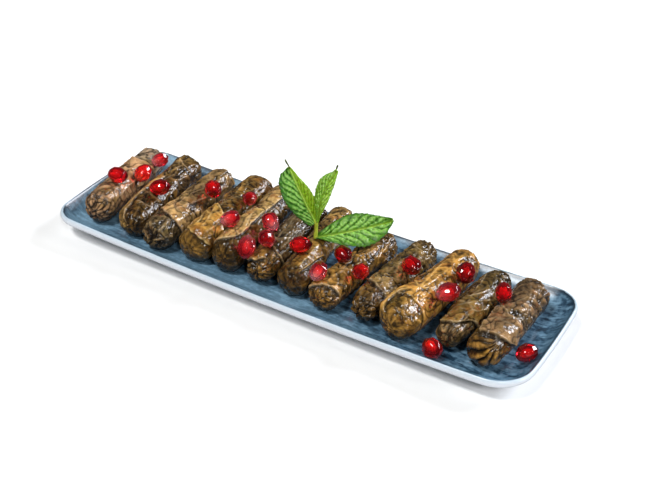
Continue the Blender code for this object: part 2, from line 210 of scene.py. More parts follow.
# %% Camera
VIEW_AZIMUTH = math.radians(27.591)
VIEW_ELEVATION = math.radians(33.454)
VIEW_ROLL = math.radians(3.7)
CAMERA_PLACE = Vector((0.23421, -0.43366, 0.34079))
CAMERA_LENS = 68.2

camera_data = bpy.data.cameras.new("camera")
camera_data.lens = CAMERA_LENS
camera_data.sensor_width = 36
camera = bpy.data.objects.new("camera", camera_data)
bpy.context.scene.collection.objects.link(camera)
towards_plate = Euler((math.pi / 2 - VIEW_ELEVATION, 0, VIEW_AZIMUTH)).to_matrix()
turn = towards_plate @ Matrix.Rotation(VIEW_ROLL, 3, "Z")
camera.matrix_world = Matrix.Translation(CAMERA_PLACE) @ turn.to_4x4()
bpy.context.scene.camera = camera
bpy.context.scene.view_settings.view_transform = "Standard"
print("camera at", [round(v, 3) for v in CAMERA_PLACE], "lens", CAMERA_LENS, "mm")

# %% Floor, lights and room
bpy.ops.object.select_all(action="DESELECT")
bpy.ops.mesh.primitive_plane_add(size=6, location=(0, 0, 0))
floor = bpy.context.active_object
floor.name = "floor"
floor_paper, tree, shader = new_material("matt_white_paper")
set_inputs(shader, {"Base Color": linear("f4f4f3"), "Roughness": 0.9})
floor.data.materials.append(floor_paper)
floor.visible_glossy = False


def add_light(name, direction, strength, angle, colour, mirrored=True):
    """A soft lamp far off in a direction: watts per square metre, and how many degrees wide it looks."""
    data = bpy.data.lights.new(name, "SUN")
    data.energy = strength
    data.angle = math.radians(angle)
    data.color = linear(colour)[:3]
    lamp = bpy.data.objects.new(name, data)
    bpy.context.scene.collection.objects.link(lamp)
    lamp.rotation_euler = Vector(direction).to_track_quat("Z", "Y").to_euler()
    lamp.visible_glossy = mirrored


add_light("window", (0.50, 0.72, 0.50), 2.8, 21, "f1f5ff")
add_light("lamp_above", (-0.20, -0.50, 0.95), 1.85, 11, "ffffff")
add_light("front_lamp", (0.50, -0.54, 0.63), 0.7, 8, "ffffff")
add_light("side_lamp", (0.92, 0.10, 0.38), 0.8, 10, "ffffff")
add_light("pale_wall", (-0.66, 0.55, 0.51), 0.8, 60, "ffffff", mirrored=False)
add_light("pale_card", (-0.25, -0.60, 0.90), 0.3, 80, "ffffff", mirrored=False)

world = bpy.data.worlds.new("room")
bpy.context.scene.world = world
world.use_nodes = True
background = world.node_tree.nodes["Background"]
set_inputs(background, {"Color": linear("f2f5f8"), "Strength": 0.08})

# %% [markdown]
# ## The plate
# The plate is stoneware, dipped in a slate-blue glaze that breaks to white on its edge. Its solid has the
# foot, the edge, the lip and the hollow already, in flat facets. Subdividing that cage rounds it as a
# potter's sponge would. The glaze line is worked out from the plate itself: each point's distance in
# from the outline, seen from above. At the back and the left the glaze runs a millimetre further out.

# %% Round the plate and measure how far in each point lies
PLATE_LEVELS = 2
# Painted pale sheen on the glaze: places in mm across or along the plate, and how strong it is at each. The
# last pair says how much further out the glaze runs towards the back and left.
ACROSS_FRONT = ((-32, -22), (1, 0))
ALONG_FRONT = ((-100, -60, 10, 70), (0.2, 0.9, 1, 0))
ALONG_LEFT = ((-124, -117, -104, -92), (0.0, 1.0, 1.3, 0))
BACK_LEFT = ((0.2, 1.0), (0.0, 1.0))


def hull_in_plan(points):
    """The outline of a set of points seen from above, counter-clockwise."""
    ordered = sorted(set((round(x, 7), round(y, 7)) for x, y in points))

    def half(sequence):
        chain = []
        for p in sequence:
            while len(chain) > 1:
                (ax, ay), (bx, by) = chain[-2], chain[-1]
                if (bx - ax) * (p[1] - ay) - (by - ay) * (p[0] - ax) > 0:
                    break
                chain.pop()
            chain.append(p)
        return chain[:-1]
    return np.array(half(ordered) + half(reversed(ordered)))


def distance_inside(points, outline):
    """How far each point lies inside a convex outline."""
    best = np.full(len(points), np.inf)
    for start, end in zip(outline, np.roll(outline, -1, axis=0)):
        along = (end - start) / np.linalg.norm(end - start)
        offset = points - start
        best = np.minimum(best, along[0] * offset[:, 1] - along[1] * offset[:, 0])
    return best


plate = piece_from("plate", "plate_stoneware")
apply_modifier(plate, "SUBSURF", levels=PLATE_LEVELS, render_levels=PLATE_LEVELS)
plate_points = coordinates(plate.data)
plate_outline = hull_in_plan(plate_points[:, :2])
inset = distance_inside(plate_points[:, :2], plate_outline)
steep = normals(plate.data)[:, 2]
half_length, half_width = np.abs(plate_points[:, :2]).max(axis=0)
behind = plate_points[:, 1] / half_width - plate_points[:, 0] / half_length
reach_out = np.interp(behind, *BACK_LEFT)
set_attribute(plate.data, "inset_mm", np.where(steep > 0, inset / MM + reach_out, -1.0))
# Painted pale sheen: on the front slope and at the left, only where the surface faces up.
in_front = np.interp(plate_points[:, 1] / MM, *ACROSS_FRONT)
in_front *= np.interp(plate_points[:, 0] / MM, *ALONG_FRONT)
at_left = np.interp(plate_points[:, 0] / MM, *ALONG_LEFT)
set_attribute(plate.data, "pale_glaze_and_sheen", np.maximum(in_front, at_left) * np.clip(steep, 0, 1))
pick(plate)
bpy.ops.object.shade_smooth()
print("plate:", len(plate.data.polygons), "faces, outline of", len(plate_outline), "points")

# %% [markdown]
# The glaze is brushed on. A pale sheen is painted on it on the front slope and at the left. It is deep in
# the hollow, and gathers in a dark line under the lip. The lip is a thin film of blue over white. Noise at
# three real
# sizes makes it: clouds of about 12 mm, brush streaks 3 mm apart and specks of 2 mm. A glassy coat lies
# over all of it.

# %% Slate-blue glaze and white edge
WHITE_EDGE_MM = 1.5
CLOUD_SIZE = 12 * MM
STREAK_LENGTH = 14 * MM
STREAKS_ACROSS = 5.0
STREAK_TURN = math.radians(6)
SPECK_SIZE = 1.8 * MM


def glaze_mottle(tree):
    """The specks, and clouds, streaks and specks mixed to one value that says how thin the glaze is."""
    place = add_node(tree, "ShaderNodeTexCoord").outputs["Object"]
    clouds = add_node(tree, "ShaderNodeTexNoise", None,
                      {"Scale": 1 / CLOUD_SIZE, "Detail": 8.0, "Roughness": 0.68}, Vector=place)
    turned = add_node(tree, "ShaderNodeMapping", None,
                      {"Rotation": (0, 0, STREAK_TURN), "Scale": (1.0, STREAKS_ACROSS, 1.0)}, Vector=place)
    streaks = add_node(tree, "ShaderNodeTexNoise", None,
                       {"Scale": 1 / STREAK_LENGTH, "Detail": 5.0, "Roughness": 0.7},
                       Vector=turned.outputs["Vector"])
    specks = add_node(tree, "ShaderNodeTexNoise", None,
                      {"Scale": 1 / SPECK_SIZE, "Detail": 3.0}, Vector=place)
    mix = add_node(tree, "ShaderNodeMath", {"operation": "MULTIPLY_ADD"}, {1: 0.55},
                   _0=clouds.outputs["Fac"], _2=streaks.outputs["Fac"])
    blend = add_node(tree, "ShaderNodeMath", {"operation": "MULTIPLY_ADD"}, {1: 0.45},
                     _0=specks.outputs["Fac"], _2=mix.outputs["Value"])
    return specks.outputs["Fac"], blend.outputs["Value"]


def brushed_slate_glaze():
    """Stoneware glaze: hard, glassy and mottled, breaking to white on the edge, where it is thinnest, with a
    painted pale sheen.
    """
    material, tree, shader = new_material("brushed_slate_blue_stoneware_glaze")
    specks, blend = glaze_mottle(tree)
    ramp = add_node(tree, "ShaderNodeValToRGB", None, None, Fac=blend)
    set_ramp(ramp, [(0.76, "0e1e2d"), (0.90, "26445a"), (1.0, "44667f")])
    pale = add_node(tree, "ShaderNodeMapRange", {"interpolation_type": "SMOOTHSTEP"},
                    {"From Min": 0.90, "From Max": 1.30, "To Max": 0.85}, Value=blend)
    # Painted sheen, added to the glaze's own pale mottle.
    painted_sheen = add_node(tree, "ShaderNodeAttribute", {"attribute_name": "pale_glaze_and_sheen"}).outputs["Fac"]
    pale_glaze_and_sheen = add_node(tree, "ShaderNodeMath", {"operation": "MULTIPLY_ADD", "use_clamp": True}, {1: 0.55},
                    _0=painted_sheen, _2=pale.outputs["Result"])
    body = tint(tree, pale_glaze_and_sheen.outputs["Value"], ramp.outputs["Color"], "8db6d0")
    inset_mm = add_node(tree, "ShaderNodeAttribute", {"attribute_name": "inset_mm"}).outputs["Fac"]
    wobble = add_node(tree, "ShaderNodeMath", {"operation": "MULTIPLY_ADD"}, {1: 0.6},
                      _0=specks, _2=inset_mm)
    line = add_node(tree, "ShaderNodeMapRange", {"interpolation_type": "SMOOTHSTEP"},
                    {"From Min": WHITE_EDGE_MM + 0.5, "From Max": WHITE_EDGE_MM + 2.2},
                    Value=wobble.outputs["Value"])
    dark_line = add_node(tree, "ShaderNodeMix", {"data_type": "RGBA"}, None, Factor=line.outputs["Result"])
    set_inputs(dark_line, {"A": linear("0e283a")})
    tree.links.new(body, dark_line.inputs["B"])
    glazed = add_node(tree, "ShaderNodeMapRange", {"interpolation_type": "SMOOTHSTEP"},
                      {"From Min": WHITE_EDGE_MM - 0.1, "From Max": WHITE_EDGE_MM + 0.5},
                      Value=wobble.outputs["Value"])
    colour = add_node(tree, "ShaderNodeMix", {"data_type": "RGBA"}, None, Factor=glazed.outputs["Result"],
                      B=dark_line.outputs["Result"])
    film = add_node(tree, "ShaderNodeMapRange", None, {"From Min": 0.1, "From Max": 1.3},
                    Value=wobble.outputs["Value"])
    lip = add_node(tree, "ShaderNodeMix", {"data_type": "RGBA"}, None, Factor=film.outputs["Result"])
    set_inputs(lip, {"A": linear("dfe4eb"), "B": linear("b9cedb")})
    tree.links.new(lip.outputs["Result"], colour.inputs["A"])
    tree.links.new(colour.outputs["Result"], shader.inputs["Base Color"])
    bump = add_node(tree, "ShaderNodeBump", None, {"Strength": 0.25, "Distance": 0.3 * MM}, Height=blend)
    tree.links.new(bump.outputs["Normal"], shader.inputs["Normal"])
    set_inputs(shader, {"Roughness": 0.32, "Coat Weight": 0.6, "Coat Roughness": 0.22})
    return material


finish(plate, brushed_slate_glaze(), "plate_glaze", "plate")
print("plate dressed, white for", WHITE_EDGE_MM, "mm in from its outline")

# %% [markdown]
# ## The rolls
# Each roll is a boiled vine leaf, wound round rice with its sides tucked in. The solid gives the fat form,
# the free edge of the last wrap and the sunken ends. What it lacks is the leaf itself: edges that lie on
# the leaf below, veins, creases, and the crinkled skin of something soft and wet. So each solid is
# subdivided, remeshed into even quads a third of a millimetre wide, and then shaped by moving vertices,
# as a sculptor would. Every point first gets a place along its roll and an angle round it.

# %% Find a roll's axis and lay out its points
ROLL_LEVELS = 2
SKIN_GRAIN = 0.36 * MM
SKIN_SMOOTHING = 6
GIRTH_RADIUS = 8.6
UP = np.array([0.0, 0.0, 1.0])


def find_axis(points):
    """The middle, the level axis from front to back, and the ends of a roll."""
    middle = points.mean(axis=0)
    axis = np.linalg.svd(points - middle, full_matrices=False)[2][0]
    axis = axis if axis[1] > 0 else -axis
    axis[2] = 0
    axis /= np.linalg.norm(axis)
    along = (points - middle) @ axis
    return middle, axis, along.min(), along.max()


def lay_out(points, frame_of_roll):
    """Each point's mm from the front end, degrees from the top towards +X, mm right and up; the length."""
    middle, axis, start, end = frame_of_roll
    offset = (points - middle) / MM
    right = offset @ np.cross(axis, UP)
    up = offset @ UP
    return offset @ axis - start / MM, np.degrees(np.arctan2(right, up)), right, up, (end - start) / MM


first_roll = coordinates(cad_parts["dolma_01"].data)
print("the first roll is", round(lay_out(first_roll, find_axis(first_roll))[4]), "mm long")

# %% [markdown]
# A leaf's features are drawn on the unrolled skin as short lines: distance from the front end in
# millimetres against angle in degrees. Six kinds are enough. An edge is a step where one layer of leaf
# ends on another, with a raised rim painted pale as a highlight and a painted shadow below the step. A fold
# is broad and soft, and a ridge is narrower, with a faint painted highlight on its crest. A crease is a
# valley with painted shade in it, and a gap is a wider one with deeper painted shade. A vein is a thin pale
# rib.
# A curve through the drawn points keeps them from looking ruled.

# %% Draw edges, folds, creases and veins on the skin
EDGE_SHARPNESS = 0.26
EDGE_FADE = 9.0
RIM_WIDTH = 0.30
HOLLOW_UNDER_EDGE = 0.90
SHADOW_REACH = 0.9
FULL_SHADOW_EDGE = 0.8
GAP_SHADE = 2.0
STROKE_TAPER = 2.5
STROKE_WIDTHS = {"fold": 1.4, "ridge": 0.75, "crease": 0.6, "gap": 0.9, "vein": 0.34}


def curve_through(points, steps=5):
    """A Catmull-Rom curve through points on the unrolled skin, with both sides in millimetres."""
    flat = np.array([(s, math.radians(a) * GIRTH_RADIUS) for s, a in points])
    padded = np.vstack([2 * flat[0] - flat[1], flat, 2 * flat[-1] - flat[-2]])
    curve = []
    for p0, p1, p2, p3 in zip(padded, padded[1:], padded[2:], padded[3:]):
        for t in np.arange(steps) / steps:
            curve.append(0.5 * (2 * p1 + (p2 - p0) * t + (2 * p0 - 5 * p1 + 4 * p2 - p3) * t ** 2
                                + (3 * p1 - p0 - 3 * p2 + p3) * t ** 3))
    return np.array(curve + [flat[-1]])


def measure_from(line, s, w):
    """How far each point lies from a line, positive on its left, and from the line's nearer end."""
    lengths = np.linalg.norm(np.diff(line, axis=0), axis=1)
    ends = np.concatenate([[0], np.cumsum(lengths)])
    nearest = np.full(len(s), np.inf)
    side = np.ones(len(s))
    place = np.zeros(len(s))
    for start, (a, b), length in zip(ends, zip(line, line[1:]), lengths):
        step = (b - a) / length
        x = s - a[0]
        y = w - a[1]
        run = np.clip(x * step[0] + y * step[1], 0, length)
        distance = np.hypot(x - run * step[0], y - run * step[1])
        closer = distance < nearest
        nearest = np.where(closer, distance, nearest)
        side = np.where(closer, np.sign(step[0] * y - step[1] * x), side)
        place = np.where(closer, start + run, place)
    return nearest * side, np.minimum(place, ends[-1] - place)


def smooth_step(value, low, high):
    t = np.clip((value - low) / (high - low), 0, 1)
    return t * t * (3 - 2 * t)


def stroke(kind, height, points, s, w, wobble):
    """The height in mm, paleness (veins' own colour, painted highlight on rims and ridges) and painted shade
    that one drawn line adds, and the side it covers.
    """
    distance, from_end = measure_from(curve_through(points), s + wobble, w + 0.7 * wobble)
    taper = smooth_step(from_end, 0, STROKE_TAPER)
    if kind == "edge":
        step = smooth_step(distance, -EDGE_SHARPNESS, EDGE_SHARPNESS)
        layer = step * np.exp(-np.maximum(distance, 0) / EDGE_FADE)
        # The rim is painted pale as a highlight, and shadow is painted on the lower side of the step.
        rim = np.exp(-((distance - 1.5 * RIM_WIDTH) / RIM_WIDTH) ** 2)
        hollow = HOLLOW_UNDER_EDGE * (1 - step) * np.exp(-np.abs(distance) / SHADOW_REACH)
        shadow = (1 - smooth_step(distance, 0, RIM_WIDTH)) * np.exp(-np.maximum(-distance, 0) / SHADOW_REACH)
        return (taper * height * (layer + 0.06 * rim - hollow), 0.8 * taper * rim,
                taper * shadow * min(1, height / FULL_SHADOW_EDGE), step)
    width = STROKE_WIDTHS[kind]
    profile = taper * np.exp(-(distance / width) ** 2)
    # Creases and gaps get painted shade, a gap twice as dark.
    if kind in ("crease", "gap"):
        return -height * profile, 0 * profile, (GAP_SHADE if kind == "gap" else 1) * profile, None
    # A vein is paler in its own colour; a ridge gets a faint painted highlight.
    return height * profile, {"vein": 0.8, "ridge": 0.2, "fold": 0}[kind] * profile, 0 * profile, None


print("a curve through three drawn points has", len(curve_through([(0, 0), (5, 20), (10, 0)])), "points")

# %% [markdown]
# Under the drawn lines lies what every boiled leaf has. Grains of rice press through it as bumps 4 to 5 mm
# wide. It crinkles in patches, in sharp ridges and creases between soft hollows, and its tucked ends
# gather in folds and pleats. The five main veins of a leaf show faintly, with side veins about 5 mm apart.
# Shade is painted into the creases and into the folds and pleats of the tucked ends, and onto the lower side
# of each roll, darker towards the plate.

# %% Crinkle the skin
RICE_BUMP = 0.16
CRINKLE = 0.50
FINE_CRINKLE = 0.10
END_CRINKLE = 0.85
PLEAT = 0.60
FAINT_VEIN = 0.10
END_REACH = 5.0
# Painted shade: in creases, and on each roll's low side up to these heights in mm above its lowest point.
CREASE_SHADE = 0.85
DEEPEST_CREASE_SHADE = 0.93
LOW_SIDE_SHADE = 0.93
LOW_SIDE_SHADE_HEIGHTS = (1.5, 9.5)
MAIN_VEINS = (-100, -50, 0, 48, 104)
SIDE_VEIN_SPACING = 5.0


def faint_veins(s, w, stalk_s, stalk_w, heading):
    """How strongly each point lies on one of the veins that fan out from the leaf's stalk."""
    reach = np.hypot(s - stalk_s, w - stalk_w)
    bearing = np.arctan2(w - stalk_w, s - stalk_s) - math.radians(heading)
    bearing = (bearing + math.pi) % (2 * math.pi) - math.pi + 0.10 * np.sin(reach / 5)
    strength = np.zeros(len(s))
    nearest = np.full(len(s), np.inf)
    branches = np.zeros(len(s))
    for vein in MAIN_VEINS:
        gap = bearing - math.radians(vein)
        off = reach * np.sin(gap)
        ahead = reach * np.cos(gap)
        strength = np.maximum(strength, np.where(ahead > 0, np.exp(-(off / 0.45) ** 2), 0))
        phase = (ahead - 0.9 * np.abs(off)) / SIDE_VEIN_SPACING + 0.37 * np.sign(off)
        line = np.abs(phase - np.round(phase)) * SIDE_VEIN_SPACING * 0.75
        branch = 0.6 * np.exp(-(line / 0.3) ** 2) * smooth_step(reach, 4, 7)
        closer = np.abs(gap) < nearest
        nearest = np.where(closer, np.abs(gap), nearest)
        branches = np.where(closer, branch, branches)
    return np.maximum(strength, branches)


def crinkle_leaf(spot, s, w, right, up, length, seed, look):
    """The height in mm, the veins' own paleness, and the painted shade of a boiled leaf before any line is
    drawn on it.
    """
    near_end = np.exp(-np.minimum(s, length - s) / END_REACH)
    girth = np.stack([s, right, up], 1)
    warp = noise_at(spot / 7, seed)[:, None] * 2.0

    def field(along, around, salt):
        return noise_at((girth + warp) / (along, around, around), seed + salt, ridged=True)
    patchy = smooth_step(noise_at(spot / 9, seed + 0.4), -0.35, 0.55)
    rice = noise_at(spot / 4.6, seed + 0.9) + 0.5 * noise_at(spot / 2.6, seed + 1.3)
    crinkle = np.clip(field(*look.get("grain", (3.2, 5.5)), 1.9), 0, 1) ** 3
    crease = np.clip(field(5.5, 3.6, 2.3), 0, 1) ** 4
    net = np.clip(field(2.2, 2.2, 2.6), 0, 1) ** 3
    fine = np.clip(field(1.3, 1.9, 2.9), 0, 1) ** 2
    knot_right, knot_up = look.get("knot", (0, 0))
    turn_round = np.arctan2(right - knot_right, up - knot_up)
    fan = np.stack([np.hypot(right, up) / 5.5 + warp[:, 0] / 6,
                    2.6 * np.cos(turn_round), 2.6 * np.sin(turn_round)], 1)
    folds = np.clip(noise_at(fan, seed + 3.6, True), 0, 1) ** 3
    end_crease = np.clip(noise_at((spot + warp) / 3.1, seed + 3.1, True), 0, 1) ** 3
    waver = 1.5 * noise_at(spot / 5, seed + 3.3)
    pleats = np.abs(np.sin(0.5 * (turn_round * look.get("pleats", 7) + waver)))
    strength = look.get("crinkle", 1.0)
    end = look.get("end", 0.8)
    relief = RICE_BUMP * rice * (1 - near_end)
    relief += CRINKLE * strength * (0.7 * crinkle - crease) * (0.35 + patchy) * (1 - 0.6 * near_end)
    relief += 0.5 * CRINKLE * look.get("net", 0.4) * net
    relief += FINE_CRINKLE * look.get("fine", 0.7) * (fine - 0.3) * (0.5 + patchy)
    relief -= END_CRINKLE * end * (end_crease + folds - 0.4) * near_end
    relief += PLEAT * look.get("pleat", 0.4) * (pleats ** 0.8 - 0.6) * near_end
    veins = faint_veins(s + warp[:, 0], w, *look.get("stalk", (0.3 * length, 0, 0)))
    relief += FAINT_VEIN * veins
    # Painted shade in creases, and in the folds and pleats of the tucked ends.
    dark = CREASE_SHADE * crease * (1 - near_end)
    dark += CREASE_SHADE * min(1, end) * np.maximum(folds, end_crease) * near_end
    dark += 0.5 * look.get("pleat", 0.4) * (1 - pleats) ** 3 * near_end
    return relief, 0.30 * veins * (1 - near_end), np.clip(dark, 0, DEEPEST_CREASE_SHADE)


def shape_leaf(mesh, frame_of_roll, seed, look):
    """Move a roll's skin into the shape of its leaf, and keep what the material needs as attributes."""
    points = coordinates(mesh)
    s, angle, right, up, length = lay_out(points, frame_of_roll)
    w = np.radians(angle) * GIRTH_RADIUS
    spot = points / MM
    relief, pale, dark = crinkle_leaf(spot, s, w, right, up, length, seed, look)
    low = (points[:, 2] - points[:, 2].min()) / MM
    # Painted shade on the lower side of each roll, darker towards the plate.
    dark = np.maximum(dark, LOW_SIDE_SHADE * (1 - smooth_step(low, *LOW_SIDE_SHADE_HEIGHTS)))
    cover = np.zeros(len(s))
    wobble = 0.35 * noise_at(spot / 3.5, seed + 4.2)
    for number, (kind, height, line) in enumerate(look["lines"]):
        added, paler, darker, over = stroke(kind, height, line, s, w, wobble)
        relief += added
        pale = np.maximum(pale, paler)
        dark = np.maximum(dark, darker)
        if number == 0 and over is not None:
            cover = over
    relief = np.where(relief > 0, relief * smooth_step(low, 0.3, 1.8), relief)
    set_coordinates(mesh, points + normals(mesh) * relief[:, None] * MM)
    level = np.percentile(relief, (5, 95))
    set_attribute(mesh, "relief", (relief - level[0]) / (level[1] - level[0]))
    set_attribute(mesh, "pale", pale * np.clip(0.6 + 0.5 * noise_at(spot / 2.2, seed + 5.1), 0.1, 1))
    set_attribute(mesh, "dark", np.clip(dark, 0, 0.96))
    set_attribute(mesh, "cover", cover)


print("main veins leave the stalk at", MAIN_VEINS, "degrees")

# %% [markdown]
# Boiled vine leaves range from dark olive brown to golden ochre, and are wet with oil. Painted shade and
# painted highlight follow the relief and the wrinkles: the skin is darker in the hollows and paler on the
# folds, over its own mottle. A leaf is known by its middle colour. Its painted hollows have a fifth of that
# light, and its painted ridges up to 2.4 times as much. Where the first drawn edge covers the roll with
# another leaf, that leaf's colour takes over. Patches 8 mm across turn it greener or redder. The finest net
# of veins is about 1.4 mm wide, too small for the mesh, so it is a bump. Oil lies on it as a clear coat with
# an
# IOR of 1.47, thin and even, which gives the sharp white lights of a wet leaf.

# %% Oiled, boiled vine leaf
OIL_IOR = 1.47
HOLLOW_LIGHT = 0.20
RIDGE_LIGHT = 2.4
BRIGHTEST_LEAF = 0.752
SHADE_STOPS = (0.21, 0.50, 0.85)
PATCH_SIZE = 8 * MM
MOTTLE_SIZE = 3 * MM
WRINKLE_SIZE = 6 * MM
NET_SIZE = 1.4 * MM


def leaf_skin(tree, shade, middle):
    """A ramp from painted shade in the hollows to painted highlight on the ridges, worked out from one
    leaf's middle colour.
    """
    colour = linear(middle)[:3]
    lights = (HOLLOW_LIGHT, 1, min(RIDGE_LIGHT, BRIGHTEST_LEAF / max(colour)))
    ramp = add_node(tree, "ShaderNodeValToRGB", None, None, Fac=shade)
    colours = [(*[light * part for part in colour], 1.0) for light in lights]
    set_ramp(ramp, list(zip(SHADE_STOPS, colours)))
    return ramp.outputs["Color"]


def leaf_mottle(tree, place, relief):
    """The leaf's mottle, which is its own tone, its wrinkles, and the shade value that they make with its
    relief: relief and wrinkles paint shade in hollows and highlight on ridges.
    """
    mottle = add_node(tree, "ShaderNodeTexNoise", None,
                      {"Scale": 1 / MOTTLE_SIZE, "Detail": 4.0, "Roughness": 0.62},
                      Vector=place).outputs["Fac"]
    wrinkles = add_node(tree, "ShaderNodeTexNoise", {"noise_type": "RIDGED_MULTIFRACTAL"},
                        {"Scale": 1 / WRINKLE_SIZE, "Detail": 5.0, "Roughness": 0.55, "Gain": 1.6},
                        Vector=place).outputs["Fac"]
    # Relief and wrinkles paint shade into the hollows and highlight onto the ridges; the mottle is the
    # leaf's own tone.
    half = add_node(tree, "ShaderNodeMath", {"operation": "MULTIPLY_ADD"}, {1: 0.42, 2: -0.315}, _0=relief)
    rough = add_node(tree, "ShaderNodeMath", {"operation": "MULTIPLY_ADD"}, {1: 0.95},
                     _0=mottle, _2=half.outputs["Value"])
    shade = add_node(tree, "ShaderNodeMath", {"operation": "MULTIPLY_ADD"}, {1: 0.25},
                     _0=wrinkles, _2=rough.outputs["Value"])
    return mottle, wrinkles, shade.outputs["Value"]


def boiled_vine_leaf(name, base, cover, rim):
    """Boiled leaf under a film of oil, with painted shade and highlight. base and cover are its two leaves'
    middle colours, rim the pale of its veins and of the highlight painted on its edges and ridges.
    """
    material, tree, shader = new_material(name)
    place = add_node(tree, "ShaderNodeTexCoord").outputs["Object"]
    read = {key: add_node(tree, "ShaderNodeAttribute", {"attribute_name": key}).outputs["Fac"]
            for key in ("relief", "pale", "dark", "cover")}
    mottle, wrinkles, shade = leaf_mottle(tree, place, read["relief"])
    both = add_node(tree, "ShaderNodeMix", {"data_type": "RGBA"}, None, Factor=read["cover"],
                    A=leaf_skin(tree, shade, base), B=leaf_skin(tree, shade, cover)).outputs["Result"]
    patches = add_node(tree, "ShaderNodeTexNoise", None,
                       {"Scale": 1 / PATCH_SIZE, "Detail": 3.0, "Roughness": 0.6},
                       Vector=place).outputs["Fac"]
    green = add_node(tree, "ShaderNodeMapRange", {"interpolation_type": "SMOOTHSTEP"},
                     {"From Min": 0.50, "From Max": 0.68, "To Max": 0.65}, Value=patches).outputs["Result"]
    russet = add_node(tree, "ShaderNodeMapRange", {"interpolation_type": "SMOOTHSTEP"},
                      {"From Min": 0.46, "From Max": 0.32, "To Max": 0.55}, Value=patches).outputs["Result"]
    leafy = tint(tree, russet, tint(tree, green, both, "a3a764", "MULTIPLY"), "c98f5e", "MULTIPLY")
    # Painted shade: creases, gaps, pleats, the shadow below edges and each roll's low side go near black.
    # Then the pale: veins in their own colour, and painted highlight on edge rims and ridges.
    shadowed = tint(tree, read["dark"], leafy, "080402")
    tree.links.new(tint(tree, read["pale"], shadowed, rim), shader.inputs["Base Color"])
    net = add_node(tree, "ShaderNodeTexVoronoi", {"feature": "DISTANCE_TO_EDGE"}, {"Scale": 1 / NET_SIZE},
                   Vector=place)
    net_line = add_node(tree, "ShaderNodeMapRange", None, {"From Max": 0.16, "To Min": 0.55, "To Max": 0.0},
                        Value=net.outputs["Distance"])
    fine_height = add_node(tree, "ShaderNodeMath", {"operation": "MULTIPLY_ADD"}, {1: 1.0},
                           _0=mottle, _2=net_line.outputs["Result"])
    height = add_node(tree, "ShaderNodeMath", {"operation": "MULTIPLY_ADD"}, {1: 1.2},
                      _0=wrinkles, _2=fine_height.outputs["Value"])
    bump = add_node(tree, "ShaderNodeBump", None, {"Strength": 0.45, "Distance": 0.35 * MM},
                    Height=height.outputs["Value"])
    tree.links.new(bump.outputs["Normal"], shader.inputs["Normal"])
    oil_bump = add_node(tree, "ShaderNodeBump", None, {"Strength": 0.20, "Distance": 0.35 * MM},
                        Height=height.outputs["Value"])
    tree.links.new(oil_bump.outputs["Normal"], shader.inputs["Coat Normal"])
    set_inputs(shader, {"Roughness": 0.55, "Specular IOR Level": 0.05, "Coat Weight": 0.9,
                        "Coat Roughness": 0.06, "Coat IOR": OIL_IOR})
    return material


print("a leaf's hollows, middle and ridges have", HOLLOW_LIGHT, 1, "and up to", RIDGE_LIGHT, "of its light")
